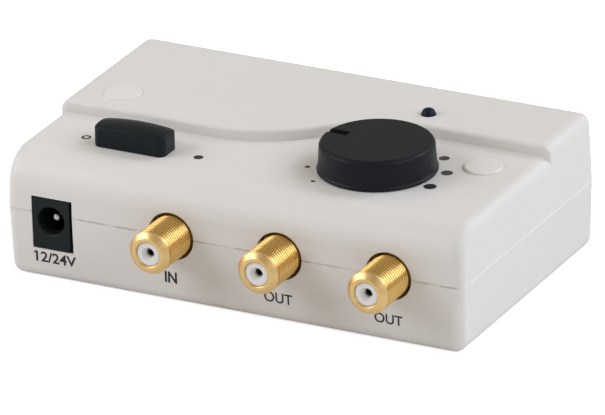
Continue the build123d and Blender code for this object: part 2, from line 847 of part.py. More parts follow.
def can_lid():
    """The lid that snaps over the fence: a sheet with a short skirt and a row of tuning holes."""
    low = board_top + can_height
    grow = 2 * (sheet + can_lid_clearance)
    lid = centred_block(can_x, can_y, can_length + grow, can_depth + grow,
                        low - can_lid_skirt, low + sheet)
    lid = fillet(lid.edges().filter_by(Axis.Z), 1.0 + sheet)
    inner = centred_block(can_x, can_y, can_length + grow - 2 * sheet,
                          can_depth + grow - 2 * sheet, low - 2 * can_lid_skirt, low)
    lid -= fillet(inner.edges().filter_by(Axis.Z), 1.0)
    for column in (-1, 0, 1):
        for row in (-1, 1):
            lid -= rod(1.2, low - 1, low + 1, can_x + column * can_length / 3.2,
                       can_y + row * can_depth / 4)
    return lid


def amplifier_chips():
    """Two small power transistors, each with its heat tab."""
    chips = []
    for side in (-1, 1):
        x = can_x + side * can_length / 4
        y = can_y - can_depth / 5
        body = centred_block(x, y, transistor_length, transistor_width, board_top,
                             board_top + transistor_height)
        body = chamfer(body.edges().group_by(Axis.Z)[-1], transistor_height / 5)
        tab_y = y + transistor_width / 2 + transistor_tab_length / 3
        chips.append(body + centred_block(x, tab_y, transistor_tab_width, transistor_tab_length,
                                          board_top, board_top + lead_thickness))
    return chips


def ferrite_places():
    return [(can_x + side * can_length / 4, can_y + can_depth / 4) for side in (-1, 1)]


def ferrite_cores():
    """The two-hole ferrite cores of the splitter."""
    cores = []
    for x, y in ferrite_places():
        core = centred_block(x, y, 2 * core_radius, 2 * core_radius, board_top,
                             board_top + core_height)
        core = fillet(core.edges().filter_by(Axis.Y), core_height * 0.3)
        for side in (-1, 1):
            core -= rod_y(core_hole_radius * 0.7, y - 2 * core_radius, y + 2 * core_radius,
                          x + side * core_radius / 2, board_top + core_height / 2)
        cores.append(core)
    return cores


def capacitor_places():
    return [(board_left + capacitor_inset, capacitor_low_y + step * capacitor_pitch)
            for step in range(2)]


def electrolytic_capacitors():
    """Two upright cans with a rolled groove near the foot and a crossed vent on top."""
    cans = []
    top = board_top + capacitor_height
    for x, y in capacitor_places():
        can = rod(capacitor_radius, board_top, top)
        can = fillet(edges_where(can, lambda p: p.Z > top - 0.01), 0.5)
        groove = rod(capacitor_radius + 1, board_top + 1.2, board_top + 1.9)
        can -= groove - rod(capacitor_radius - 0.35, board_top, top)
        can -= centred_block(0, 0, capacitor_radius, 0.3, top - 0.2, top + 1)
        can -= centred_block(0, 0, 0.3, capacitor_radius, top - 0.2, top + 1)
        cans.append(Pos(x, y, 0) * can)
    return cans


def regulator_place():
    return (board_left + regulator_inset, regulator_y)


def voltage_regulator():
    """The flat voltage regulator, soldered down by the tab under it."""
    x, y = regulator_place()
    body = centred_block(x, y, regulator_width, regulator_length, board_top,
                         board_top + regulator_height)
    body = chamfer(body.edges().group_by(Axis.Z)[-1], regulator_height / 6)
    low = board_top
    high = board_top + lead_thickness
    tab_y = y + regulator_length / 2 + regulator_tab_length / 4
    body += centred_block(x, tab_y, regulator_tab_width, regulator_tab_length, low, high)
    leg_y = y - regulator_length / 2 - regulator_leg_length / 2 + 0.1
    for side in (-1, 1):
        body += centred_block(x + side * regulator_leg_pitch / 2, leg_y, regulator_leg_width,
                              regulator_leg_length, low, high)
    return body


def choke_place():
    return (board_left + choke_inset, choke_y)


def choke_core():
    """The ferrite bobbin of the supply choke."""
    x, y = choke_place()
    bobbin = rod(choke_radius, board_top, board_top + choke_height)
    waist = rod(choke_radius + 1, board_top + choke_cheek, board_top + choke_height - choke_cheek)
    return Pos(x, y, 0) * (bobbin - (waist - rod(choke_radius * 0.5, 0, 2 * board_top)))


def choke_winding():
    """The choke's copper, as one layer-wound sleeve between the bobbin's cheeks."""
    x, y = choke_place()
    low = board_top + choke_cheek + contact_clearance
    high = board_top + choke_height - choke_cheek - contact_clearance
    sleeve = rod(choke_radius * 0.86, low, high)
    return Pos(x, y, 0) * (sleeve - rod(choke_radius * 0.5 + contact_clearance, 0, deck_height))


def chip_row(places, length, width, height):
    """Small surface parts that stand on the board."""
    return [centred_block(x, y, length, width, board_top, board_top + height) for x, y in places]


def chip_resistors():
    inside = [(can_x + side * can_length / 4 + step * chip_pitch, can_y - can_depth / 2.7)
              for side in (-1, 1) for step in (-1, 0, 1)]
    outside = [(board_width / 2 - edge_chip_inset, edge_chip_y + step * chip_pitch)
               for step in range(3)]
    return chip_row(inside + outside, chip_length, chip_width, resistor_height)


def chip_capacitors():
    inside = [(can_x + side * can_length / 4 + step * chip_pitch, can_y + chip_width)
              for side in (-1, 1) for step in (-1, 0, 1)]
    outside = [(board_left + regulator_inset + step * chip_pitch, rear_chip_y)
               for step in range(3)]
    return chip_row(inside + outside, chip_length, chip_width, ceramic_height)


def rectifiers():
    """Two square diodes between the power socket and the capacitors."""
    return [centred_block(jack_x + side * rectifier_pitch / 2, rectifier_y, rectifier_length,
                          rectifier_width, board_top, board_top + rectifier_height)
            for side in (-1, 1)]


def half_diagonal(length, width):
    """The radius of the round hole that just lets a flat leg through."""
    return sqrt(length ** 2 + width ** 2) / 2


def board():
    """The circuit board, with a hole for every lead and a ring of room round each case boss."""
    plate = Pos(0, 0, board_bottom) * extrude(
        fillet(Rectangle(board_width, board_depth).vertices(), board_corner), board_thickness)
    low = board_bottom - 1
    high = board_top + 1
    for x, y, surface, proud in screw_places():
        plate -= rod(boss_radius + board_boss_clearance, low, high, x, y)
    for x, y in board_posts:
        plate -= rod(board_screw_radius + screw_clearance, low, high, x, y)
    drilled = [(x, y, contact_leg_radius) for x in socket_xs for y in [contact_leg_y()]]
    for x in socket_xs:
        drilled += [(leg_x, leg_y, socket_leg_radius) for leg_x, leg_y in socket_leg_places(x)]
    drilled += [(x, y, switch_pin_radius) for x, y in switch_pin_places()]
    drilled += [(x, y, half_diagonal(pot_tag_width, pot_tag_thickness)) for x, y in pot_tag_places()]
    drilled += [(x, y, half_diagonal(lamp_lead_size, lamp_lead_size)) for x, y in lamp_lead_places()]
    for x, y, radius in drilled:
        plate -= rod(radius + lead_clearance, low, high, x, y)
    back = jack_front() + jack_depth
    slots = [(back + jack_tab_thickness / 2, jack_tab_width),
             (jack_spring_leg() + jack_tab_thickness / 2, spring_width)]
    for y, width in slots:
        plate -= centred_block(jack_x, y, width + 2 * lead_clearance,
                               jack_tab_thickness + 2 * lead_clearance, low, high)
    return plate


os.makedirs("parts", exist_ok=True)

nodes = {"upper_shell": upper_shell(), "lower_shell": lower_shell(), "circuit_board": board()}
left_place, right_place = screw_places()
nodes["screw_cap_left"] = Pos(left_place[0], left_place[1], 0) * screw_cap(left_place[2], left_place[3])
nodes["screw_cap_right"] = Pos(right_place[0], right_place[1], 0) * screw_cap(right_place[2],
                                                                             right_place[3])
for name, x in zip(socket_names, socket_xs):
    nodes[name + "_barrel"] = socket_barrel(x)
    nodes[name + "_block"] = socket_block(x)
    nodes[name + "_insulator"] = socket_insulator(x)
    nodes[name + "_contact"] = socket_contact(x)
nodes["power_socket_housing"] = jack_housing()
nodes["power_socket_pin"] = jack_pin()
nodes["power_socket_spring"] = jack_spring()
nodes["switch_cap"] = switch_cap()
nodes["switch_lever"] = switch_lever()
nodes["switch_housing"] = switch_housing()
nodes["gain_knob"] = gain_knob()
nodes["pot_shaft"] = pot_shaft()
nodes["pot_wiper"] = pot_wiper()
nodes["pot_can"] = pot_can()
nodes["pot_base"] = pot_base()
nodes["lamp_lens"] = lamp_lens()
nodes["lamp_spacer"] = lamp_spacer()
nodes["screening_can"] = can_frame()
nodes["screening_lid"] = can_lid()
nodes["voltage_regulator"] = voltage_regulator()
nodes["choke_core"] = choke_core()
nodes["choke_winding"] = choke_winding()

groups = {"case_screws": case_screws(), "board_screws": board_screws(),
          "switch_pins": round_pins(switch_pin_places(), switch_pin_radius), "pot_tags": pot_tags(),
          "lamp_leads": lamp_leads(), "amplifier_chips": amplifier_chips(),
          "ferrite_cores": ferrite_cores(), "electrolytic_capacitors": electrolytic_capacitors(),
          "rectifiers": rectifiers(), "chip_resistors": chip_resistors(),
          "chip_capacitors": chip_capacitors()}
for name, solids in groups.items():
    nodes[name] = Compound(children=solids)

for name, shape in nodes.items():
    export_step(shape, "parts/" + name + ".step")
    print(name, len(shape.solids()), round(shape.volume, 2))
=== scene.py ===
# %% [markdown]
# # An antenna amplifier
#
# This small desktop box boosts a television aerial's signal. Its two off-white shells meet at
# mid-height, and a wave-shaped step divides the low front of its top from the high rear. The solids
# come ready from the packed model. This lesson adds the camera, the finishes, the threads of the
# gold sockets, the rims of the screw caps, the lamp's dome, the printing and the light.

# %% Load the packed model
import bpy
import numpy as np
from mathutils import Matrix, Vector


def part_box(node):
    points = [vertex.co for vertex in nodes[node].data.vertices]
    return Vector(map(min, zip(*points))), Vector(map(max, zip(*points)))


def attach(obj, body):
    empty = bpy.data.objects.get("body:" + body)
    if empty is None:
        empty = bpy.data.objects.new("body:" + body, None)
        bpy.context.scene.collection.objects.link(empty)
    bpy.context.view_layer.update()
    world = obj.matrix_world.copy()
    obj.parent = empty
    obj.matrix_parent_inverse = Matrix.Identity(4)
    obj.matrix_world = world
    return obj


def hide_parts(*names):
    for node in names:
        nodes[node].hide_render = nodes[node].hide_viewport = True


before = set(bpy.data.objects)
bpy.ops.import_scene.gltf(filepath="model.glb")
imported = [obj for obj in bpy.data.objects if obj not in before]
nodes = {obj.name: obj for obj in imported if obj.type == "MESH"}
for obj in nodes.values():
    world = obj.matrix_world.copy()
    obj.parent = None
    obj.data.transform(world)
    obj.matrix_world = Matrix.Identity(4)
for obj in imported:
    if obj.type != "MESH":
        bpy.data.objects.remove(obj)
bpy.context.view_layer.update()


def rounded(values):
    return [round(v, 4) for v in values]


# %% [markdown]
# ## The camera
#
# A camera can be aimed by eye, or worked out from places that are known both on the object and in
# the picture. Here it was worked out, so its angles are odd numbers. It stands almost two metres
# away behind a long lens, which keeps parallel edges nearly parallel, as in product pictures.

# %% Aim the camera
CAMERA_AZIMUTH = np.radians(27.676)
CAMERA_ELEVATION = np.radians(23.408)
CAMERA_ROLL = np.radians(-1.54)
CAMERA_PLACE = (0.82841, -1.57991, 0.78378)
FOCAL_PIXELS = 9128.33
PICTURE_WIDTH, PICTURE_HEIGHT = 605, 415
PICTURE_CENTRE = (300.60, 208.49)
SENSOR_WIDTH = 36.0
FARTHEST_SEEN = 20.0


def camera_axes(azimuth, elevation, roll):
    """The camera's right, up and back directions: two turns from the front, then a roll."""
    back = np.array([np.sin(azimuth) * np.cos(elevation), -np.cos(azimuth) * np.cos(elevation),
                     np.sin(elevation)])
    right = np.array([np.cos(azimuth), np.sin(azimuth), 0.0])
    up = np.cross(back, right)
    return (np.cos(roll) * right + np.sin(roll) * up,
            np.cos(roll) * up - np.sin(roll) * right, back)


camera_data = bpy.data.cameras.new("camera")
camera_data.sensor_width = SENSOR_WIDTH
camera_data.lens = FOCAL_PIXELS / PICTURE_WIDTH * SENSOR_WIDTH
camera_data.shift_x = (PICTURE_WIDTH / 2 - PICTURE_CENTRE[0]) / PICTURE_WIDTH
camera_data.shift_y = (PICTURE_CENTRE[1] - PICTURE_HEIGHT / 2) / PICTURE_WIDTH
camera_data.clip_end = FARTHEST_SEEN
camera = bpy.data.objects.new("camera", camera_data)
bpy.context.scene.collection.objects.link(camera)
axes = np.column_stack(camera_axes(CAMERA_AZIMUTH, CAMERA_ELEVATION, CAMERA_ROLL))
camera.matrix_world = Matrix.Translation(CAMERA_PLACE) @ Matrix(axes.tolist()).to_4x4()
bpy.context.scene.camera = camera
bpy.context.scene.view_settings.view_transform = "Standard"
print("lens", round(camera_data.lens, 1), "mm")

# %% [markdown]
# ## Writing shaders as sums
#
# A finish is a small calculation that Blender runs for every point of a surface: a number times
# another, a mask mixed with its opposite. Adding those nodes one by one hides the calculation. A
# small class wraps a node's output, so that `1 - mask` or `noise * 0.5` adds the Math node that it
# names, and one method adds every other kind of node.

# %% A shader graph that reads like arithmetic


class Value:
    """One output of a node. Arithmetic on it adds Math nodes."""

    def __init__(self, graph, socket):
        self.graph = graph
        self.socket = socket

    def _math(self, operation, first, second=0.0):
        return self.graph.node("ShaderNodeMath", {"operation": operation}, {0: first, 1: second})

    def __add__(self, other):
        return self._math("ADD", self, other)

    def __sub__(self, other):
        return self._math("SUBTRACT", self, other)

    def __mul__(self, other):
        return self._math("MULTIPLY", self, other)

    def __rsub__(self, other):
        return self._math("SUBTRACT", other, self)

    __radd__ = __add__
    __rmul__ = __mul__

    def size(self):
        """The value without its sign."""
        return self._math("ABSOLUTE", self)

    def root(self):
        return self._math("SQRT", self)

    def sine(self):
        return self._math("SINE", self)

    def smallest(self, other):
        return self._math("MINIMUM", self, other)

    def step(self, start, end):
        """0 up to start, 1 from end, and a smooth rise between them."""
        return self.graph.node("ShaderNodeMapRange", {"interpolation_type": "SMOOTHSTEP"},
                               {"Value": self, "From Min": start, "From Max": end})


class Graph:
    """A node tree with its output's surface, and the one method that adds nodes to it."""

    def __init__(self, tree, output_kind):
        self.tree = tree
        self.tree.nodes.clear()
        self.surface = self.tree.nodes.new(output_kind).inputs["Surface"]

    def feed(self, socket, value):
        if isinstance(value, Value):
            self.tree.links.new(value.socket, socket)
        else:
            socket.default_value = value

    def node(self, kind, settings, inputs, output=0):
        """Adds a node: its settings first, then the values or links of its sockets."""
        made = self.tree.nodes.new(kind)
        for name, setting in settings.items():
            setattr(made, name, setting)
        for name, value in inputs.items():
            self.feed(made.inputs[name], value)
        return Value(self, made.outputs[output])


print("a value also has", [name for name in vars(Value) if not name.startswith("_")])

# %% [markdown]
# ## What every finish needs
#
# Nearly every surface here is one Principled shader with a few of its sockets driven by noise. Each
# material could be wired from scratch, but the same lines would come again and again. This class
# makes the shader and gives short names to noise, distances, mixed colours and bumps.

# %% A finish and its colours


class Finish(Graph):
    """A material with one Principled shader, and the nodes that most finishes use."""

    def __init__(self, name):
        self.material = bpy.data.materials.new(name)
        self.material.use_nodes = True
        super().__init__(self.material.node_tree, "ShaderNodeOutputMaterial")
        self.shader = self.node("ShaderNodeBsdfPrincipled", {}, {})
        self.feed(self.surface, self.shader)
        self.place = self.node("ShaderNodeTexCoord", {}, {}, "Object")

    def set(self, **values):
        """Sets or links the shader's own sockets: base_color means Base Color."""
        for name, value in values.items():
            socket = next(s for s in self.shader.socket.node.inputs
                          if s.name.lower().replace(" ", "_") == name)
            self.feed(socket, value)

    def noise(self, features, detail=2.0, roughness=0.5):
        """Cloudy noise from 0 to 1, with so many features to a metre."""
        return self.node("ShaderNodeTexNoise", {},
                         {"Vector": self.place, "Scale": features, "Detail": detail,
                          "Roughness": roughness})

    def axis(self, name):
        return self.node("ShaderNodeSeparateXYZ", {}, {"Vector": self.place}, name)

    def colour(self, mask, first, second):
        """A colour that goes from the first to the second as the mask goes from 0 to 1."""
        def full(value):
            return value if isinstance(value, Value) else (*value, 1.0)
        return self.node("ShaderNodeMix", {"data_type": "RGBA"},
                         {0: mask, 6: full(first), 7: full(second)}, 2)

    def bump(self, height, distance):
        return self.node("ShaderNodeBump", {}, {"Height": height, "Distance": distance,
                                                "Strength": 1.0})


def shade(red, green, blue):
    """A screen colour of 0 to 255 as the linear colour that a shader takes."""
    screen = np.array([red, green, blue]) / 255.0
    linear = np.where(screen <= 0.04045, screen / 12.92, ((screen + 0.055) / 1.055) ** 2.4)
    return tuple(float(v) for v in linear)


def scaled(colour, share):
    return tuple(v * share for v in colour)


print("white is", shade(255, 255, 255))

# %% [markdown]
# ## The case plastic
#
# Moulded cases get their soft look from a spark-eroded mould: pits about a fifth of a millimetre
# wide, too fine to see one by one, which blur every reflection. A picture of them would repeat, so
# noise on the object's own coordinates makes them, and the same recipe then serves all the matt
# plastics.

# %% Matt moulded plastics
PIT_COUNT = 5200.0
PIT_DEPTH = 0.000018


def moulded(name, colour, roughness, variation, pit_depth=PIT_DEPTH, mirror=0.5):
    """Plastic from a spark-eroded mould: pitted, and never quite even in tone or gloss."""
    finish = Finish(name)
    clouds = finish.noise(42.0, 3.0)
    pits = finish.noise(PIT_COUNT, 1.5, 0.6)
    handled = finish.noise(160.0, 4.0, 0.65)
    finish.tone = finish.colour(clouds.step(0.3, 0.7), scaled(colour, 1.0 - variation), colour)
    finish.set(base_color=finish.tone,
               roughness=roughness - 0.05 + handled * 0.1,
               normal=finish.bump(pits, pit_depth),
               ior=1.49, specular_ior_level=mirror)
    return finish


CASE_COLOUR = (0.74, 0.725, 0.715)
case_plastic = moulded("case plastic", CASE_COLOUR, 0.46, 0.018)
# Painted light: the caps' plastic is paler than the case's, standing in for the light that their
# proud tops catch.
cap_plastic_painted_light = moulded("screw cap plastic painted light", (0.78, 0.765, 0.755), 0.36, 0.01, PIT_DEPTH * 0.4)
knob_plastic = moulded("knob plastic", shade(29, 32, 38), 0.38, 0.1, mirror=0.12)
switch_plastic = moulded("switch plastic", shade(26, 33, 37), 0.36, 0.1, mirror=0.13)
socket_plastic = moulded("power socket plastic", shade(32, 38, 40), 0.4, 0.12, PIT_DEPTH * 0.5,
                         0.12)
chip_plastic = moulded("chip plastic", shade(32, 32, 34), 0.55, 0.15)
insulator_plastic = moulded("insulator plastic", (0.80, 0.81, 0.82), 0.3, 0.02, PIT_DEPTH * 0.2)
laminate = moulded("brown laminate", shade(140, 92, 52), 0.6, 0.25)
ferrite = moulded("ferrite", shade(62, 60, 60), 0.7, 0.2, PIT_DEPTH * 2)
print("case albedo", CASE_COLOUR)

# %% [markdown]
# ## The joint of the case
#
# Painted light makes the shells' edges along their joint a little paler than the walls: it lifts
# the shade that falls in the joint's bevel. In front the joint also gathers brown dust in patches.
# Thin strips could be laid along it, but they would have to follow every corner. A mask that fades
# with the height above and below the joint needs no geometry, and noise breaks the dust up.

# %% Painted light and dust along the joint
SEAM_HEIGHT = 0.0154
JOINT_CORE, JOINT_END = 0.00008, 0.00034
FRONT_END, SIDE_START = -0.0318, -0.0308
JOINT_LIGHT_COLOUR = (0.88, 0.865, 0.85)
DUST_COLOUR = shade(134, 114, 104)

joint = 1.0 - (case_plastic.axis("Z") - SEAM_HEIGHT).size().step(JOINT_CORE, JOINT_END)
in_front = 1.0 - case_plastic.axis("Y").step(FRONT_END, SIDE_START)
patches = case_plastic.noise(420.0, 3.0, 0.7).step(0.42, 0.62)
# Painted light: the edges along the joint are mixed towards a paler colour, which lifts the shade
# in its bevel.
case_with_joint_light = case_plastic.colour(joint * (0.2 + in_front * 0.25), case_plastic.tone, JOINT_LIGHT_COLOUR)
dust = joint * in_front * (0.16 + patches * 0.3)
case_plastic.set(base_color=case_plastic.colour(dust, case_with_joint_light, DUST_COLOUR))
print("joint at", SEAM_HEIGHT, "m")

# %% [markdown]
# ## The plain metals
#
# Pins, screws, tinned cans and copper wire are small or hidden. They could share one grey metal,
# but each has its own colour and gloss. One recipe with those two numbers makes them all: a mirror
# that a fine grain blurs a little here and there.

# %% Tin, steel, copper and other plain metals
GRAIN_COUNT = 900.0
GRAIN_DEPTH = 0.000004


def metal(name, colour, roughness):
    """Bare or plated metal: a tone and a gloss that vary with a fine grain."""
    finish = Finish(name)
    fine = finish.noise(GRAIN_COUNT, 3.0, 0.6)
    broad = finish.noise(95.0, 3.0, 0.6)
    finish.set(base_color=finish.colour(broad, scaled(colour, 0.92), colour),
               roughness=roughness - 0.06 + fine * 0.12,
               normal=finish.bump(fine, GRAIN_DEPTH),
               metallic=1.0)
    return finish


tin = metal("tin plate", shade(196, 196, 192), 0.34)
# Painted shade: the contacts sit deep in the sockets' holes, and their metal is darkened to stand
# in for the shade there.
contact_metal_in_shade = metal("contact metal", shade(66, 58, 44), 0.4)
pin_metal = metal("pin metal", shade(200, 200, 198), 0.25)
steel = metal("zinc-plated steel", shade(176, 178, 180), 0.3)
copper = metal("enamelled copper", shade(196, 108, 62), 0.28)
print("grains", round(1000 / GRAIN_COUNT, 1), "mm wide")

# %% [markdown]
# ## The gold plate
#
# The sockets are turned brass with a thin gold plate. Turning leaves fine rings round the axis,
# and plating leaves tiny grains, so the gold's roughness follows rings in the distance from the
# socket's own axis. The sockets' axes lie along Y, one socket pitch apart. Each could have its own
# material, but one that measures from the nearest axis serves all three. Painted shade darkens the
# thread's grooves, and the part inside the case's wall, where the gap round each barrel lies in
# shade.

# %% Gold with turned rings
SOCKETS = ("in_socket", "out_socket_1", "out_socket_2")
RING_SPACING = 0.00016
RING_DEPTH = 0.000004
FACE_EDGE = (0.0038, 0.0041)
GROOVE_RADIUS, RIDGE_RADIUS = 0.00452, 0.0047
NOSE_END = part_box("in_socket_barrel")[0].y + 0.0012
NOSE_FADE = 0.0003
SHADE_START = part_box("in_socket_block")[0].y - 0.0032
SHADE_FADE = 0.0006


def middle(node):
    """The middle of a node's box."""
    return [(low + high) / 2 for low, high in zip(*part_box(node))]


SOCKET_XS = [middle(name + "_insulator")[0] for name in SOCKETS]


def socket_distance(finish):
    """The distance from the nearest socket's axis: the root of across squared and up squared."""
    across = finish.axis("X")
    near = (across - SOCKET_XS[0]).size()
    for x in SOCKET_XS[1:]:
        near = near.smallest((across - x).size())
    above = finish.axis("Z") - SEAM_HEIGHT
    return (near * near + above * above).root()


gold = Finish("gold plate")
depth = gold.axis("Y")
distance = socket_distance(gold)
wave = (distance * (2 * np.pi / RING_SPACING) + gold.noise(600.0) * 2.0).sine()
rings = (wave * 0.5 + 0.5) * (1.0 - distance.step(*FACE_EDGE))
behind_nose = (depth - NOSE_END).step(0.0, NOSE_FADE)
groove_shade = (1.0 - distance.step(GROOVE_RADIUS, RIDGE_RADIUS)) * behind_nose
wall_shade = (depth - SHADE_START).step(0.0, SHADE_FADE)
plate = gold.colour(gold.noise(95.0, 3.0), shade(232, 198, 136), shade(242, 209, 148))
plate = gold.colour(behind_nose * 0.6, plate, shade(238, 196, 108))
# Painted shade: the thread's grooves and the brass behind the wall get darker colours, standing in
# for the shade that falls there.
plate = gold.colour(groove_shade * 0.5, plate, shade(180, 118, 52))
gold.set(base_color=gold.colour(wall_shade * 0.35, plate, shade(70, 54, 36)),
         roughness=0.35 - behind_nose * 0.14 + rings * 0.06 + gold.noise(1500.0) * 0.05,
         normal=gold.bump(rings, RING_DEPTH),
         metallic=1.0)
print("socket axes at x =", rounded(SOCKET_XS))

# %% [markdown]
# ## The lamp and the circuit board
#
# The unlit lamp is navy blue plastic that is nearly opaque from outside. A little transmission
# lets its edge glow, and a thin coat gives its shoulder a soft highlight. The board's green
# mask lies over copper tracks, which show as slightly raised, lighter lines. A brick pattern with
# thin mortar stands in for them: straight runs with right-angled turns.

# %% Lamp and board
lamp_plastic = Finish("lamp plastic")
lamp_clouds = lamp_plastic.noise(900.0, 2.0)
lamp_plastic.set(base_color=lamp_plastic.colour(lamp_clouds, shade(14, 17, 40), shade(20, 24, 54)),
                 roughness=0.4 + lamp_clouds * 0.08,
                 transmission_weight=0.04, ior=1.5, specular_ior_level=0.14,
                 coat_weight=0.04, coat_roughness=0.25)

TRACK_HEIGHT = 0.00003
board_mask = Finish("solder mask")
tracks = board_mask.node("ShaderNodeTexBrick",
                         {"offset": 0.37, "squash": 0.6, "squash_frequency": 3},
                         {"Vector": board_mask.place, "Scale": 150.0, "Mortar Size": 0.035,
                          "Mortar Smooth": 0.2}, "Fac")
board_mask.set(base_color=board_mask.colour(tracks, shade(22, 92, 52), shade(46, 128, 70)),
               roughness=0.22 + board_mask.noise(800.0) * 0.08,
               normal=board_mask.bump(tracks, TRACK_HEIGHT))
print("lamp at", rounded(middle("lamp_lens")))

# %% [markdown]
# ## Putting the finishes on the solids
#
# Each solid of the packed model already has a material slot. Its shape is right, so only the
# material in the slot is replaced. A table from node names to finishes keeps that in one place, and
# the line that it prints shows whether any node was forgotten.

# %% Assign the finishes
finish_of = {
    "upper_shell": case_plastic, "lower_shell": case_plastic,
    "screw_cap_left": cap_plastic_painted_light, "screw_cap_right": cap_plastic_painted_light,
    "gain_knob": knob_plastic, "switch_cap": switch_plastic, "switch_lever": switch_plastic,
    "power_socket_housing": socket_plastic, "power_socket_pin": pin_metal,
    "power_socket_spring": pin_metal, "circuit_board": board_mask,
    "lamp_lens": lamp_plastic, "lamp_spacer": insulator_plastic, "pot_wiper": insulator_plastic,
    "pot_base": laminate, "chip_capacitors": laminate, "pot_can": tin, "screening_can": tin,
    "screening_lid": tin, "switch_housing": tin, "pot_shaft": steel, "case_screws": steel,
    "board_screws": steel, "voltage_regulator": chip_plastic, "rectifiers": chip_plastic,
    "chip_resistors": chip_plastic, "amplifier_chips": chip_plastic,
    "electrolytic_capacitors": chip_plastic, "ferrite_cores": ferrite, "choke_core": ferrite,
    "choke_winding": copper, "switch_pins": tin, "pot_tags": tin, "lamp_leads": tin}
for name in SOCKETS:
    finish_of[name + "_barrel"] = gold
    finish_of[name + "_block"] = gold
    finish_of[name + "_insulator"] = insulator_plastic
    finish_of[name + "_contact"] = contact_metal_in_shade

for name, finish in finish_of.items():
    for slot in nodes[name].material_slots:
        slot.material = finish.material
print("nodes without a finish:", sorted(set(nodes) - set(finish_of)))

# %% [markdown]
# ## Surfaces from formulas
#
# A turned part is one curve spun round an axis. If the curve is closed, the spin makes a surface
# with no ends, so nothing has to be capped. The helper takes every point of a grid in one array,
# so a radius can also change with the angle. That is all a screw thread needs.

# %% A closed grid of points becomes a mesh


def grid_mesh(name, points, close_rows=True, close_columns=True, smooth=True):
    """Makes quads between neighbours of a rows by columns by 3 array of points.

    Point (i, j) joins (i + 1, j), (i + 1, j + 1) and (i, j + 1), and a closed direction joins
    its last line of points to its first."""
    rows, columns = points.shape[:2]
    i, j = np.meshgrid(np.arange(rows if close_rows else rows - 1),
                       np.arange(columns if close_columns else columns - 1), indexing="ij")
    i_next, j_next = (i + 1) % rows, (j + 1) % columns
    corners = np.stack([i * columns + j, i_next * columns + j, i_next * columns + j_next,
                        i * columns + j_next], axis=-1).reshape(-1, 4)
    mesh = bpy.data.meshes.new(name)
    mesh.vertices.add(rows * columns)
    mesh.vertices.foreach_set("co", points.reshape(-1).astype(np.float32))
    mesh.loops.add(corners.size)
    mesh.loops.foreach_set("vertex_index", corners.reshape(-1).astype(np.int32))
    mesh.polygons.add(len(corners))
    mesh.polygons.foreach_set("loop_start", np.arange(0, corners.size, 4, dtype=np.int32))
    mesh.update(calc_edges=True)
    mesh.validate()
    if smooth:
        mesh.shade_smooth()
    else:
        mesh.shade_flat()
    return mesh


def add_piece(name, mesh, finish, body):
    """Puts a mesh in the scene as a piece that rides on a body."""
    mesh.materials.append(finish.material)
    piece = bpy.data.objects.new(name, mesh)
    bpy.context.scene.collection.objects.link(piece)
    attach(piece, body)
    return piece


def full_turn(columns):
    """The angles of a grid's columns: one turn without its last point, as a row."""
    return np.linspace(0, 2 * np.pi, columns, endpoint=False)[None, :]


print("helpers ready")

# %% [markdown]
# ## The barrels' section
#
# A coaxial socket's barrel is a tube with a rounded shoulder at its nose and a collar at its root.
# Cylinders could be joined, but a turned part is easier to draw as half its section. Its points lie
# close together where the thread will be and further apart elsewhere.

# %% Draw the barrels' section
THREAD_PITCH = 0.0254 / 32
NOSE_SIZE = 0.0011
NOSE_FLATNESS = 1.9
BARREL_RADIUS = 0.00472
COLLAR_LENGTH = 0.0012
BORE_GAP = 0.00003
BORE_BEVEL = 0.0002
FINE_SPACING, COARSE_SPACING = THREAD_PITCH / 15, 0.0006


def even_steps(corners, spacing):
    """Points along straight runs between corners, no further apart than a spacing."""
    corners = np.array(corners, dtype=float)
    runs = []
    for start, end in zip(corners[:-1], corners[1:]):
        count = max(int(np.ceil(np.linalg.norm(end - start) / spacing)), 1)
        runs.append(np.linspace(start, end, count, endpoint=False))
    return np.vstack(runs)


def barrel_profile(tip, back, bore, collar):
    """Depth and radius round a barrel's section: face, shoulder, wall, collar, bore.

    The shoulder is a quarter circle whose cosine and sine are raised to a power. At 1 it stays a
    circle, at 2 it is a straight bevel, and between them it is a bevel with soft edges."""
    turn = np.radians(np.linspace(0, 90, 16, endpoint=False))
    shoulder = np.column_stack([tip + NOSE_SIZE * (1 - np.cos(turn) ** NOSE_FLATNESS),
                                BARREL_RADIUS - NOSE_SIZE * (1 - np.sin(turn) ** NOSE_FLATNESS)])
    wall_end = (back - COLLAR_LENGTH, BARREL_RADIUS)
    wall = even_steps([(tip + NOSE_SIZE, BARREL_RADIUS), wall_end], FINE_SPACING)
    rest = even_steps([wall_end, (wall_end[0], collar), (back, collar), (back, bore),
                       (tip + BORE_BEVEL, bore), (tip, bore + BORE_BEVEL),
                       (tip, BARREL_RADIUS - NOSE_SIZE)], COARSE_SPACING)
    return np.vstack([shoulder, wall, rest])


print("section points", round(FINE_SPACING * 1000, 3), "mm apart on the wall")

# %% [markdown]
# ## The thread
#
# A coaxial plug's nut screws onto each barrel. The thread is 32 turns to the inch, so it climbs
# 0.79 mm a turn. A wound ridge could be swept along a helix and joined to a tube. One surface is
# simpler and has no seam: the radius dips by a rounded V whose phase runs with the depth minus the
# turn of the angle. A plain band is left behind the nose, as on the real ones.

# %% Thread the barrels
THREAD_DEPTH = 0.00022
THREAD_SHARPNESS = 1.4
THREAD_RUN_IN = 0.4
PLAIN_BAND = 0.0003
BARREL_COLUMNS = 96
HAIR = 0.00001


def thread_dip(depth, angle, length):
    """How far the radius falls over a thread's length: a rounded V once a pitch.

    The phase is depth / pitch - angle / full turn, and the V is a power of a cosine. It fades in
    over a part of a pitch and out over a whole one."""
    phase = depth / THREAD_PITCH - angle / (2 * np.pi)
    groove = (0.5 + 0.5 * np.cos(2 * np.pi * phase)) ** THREAD_SHARPNESS
    fade_in = np.clip(depth / (THREAD_RUN_IN * THREAD_PITCH), 0, 1)
    fade_out = np.clip((length - depth) / THREAD_PITCH, 0, 1)
    return THREAD_DEPTH * groove * fade_in * fade_out


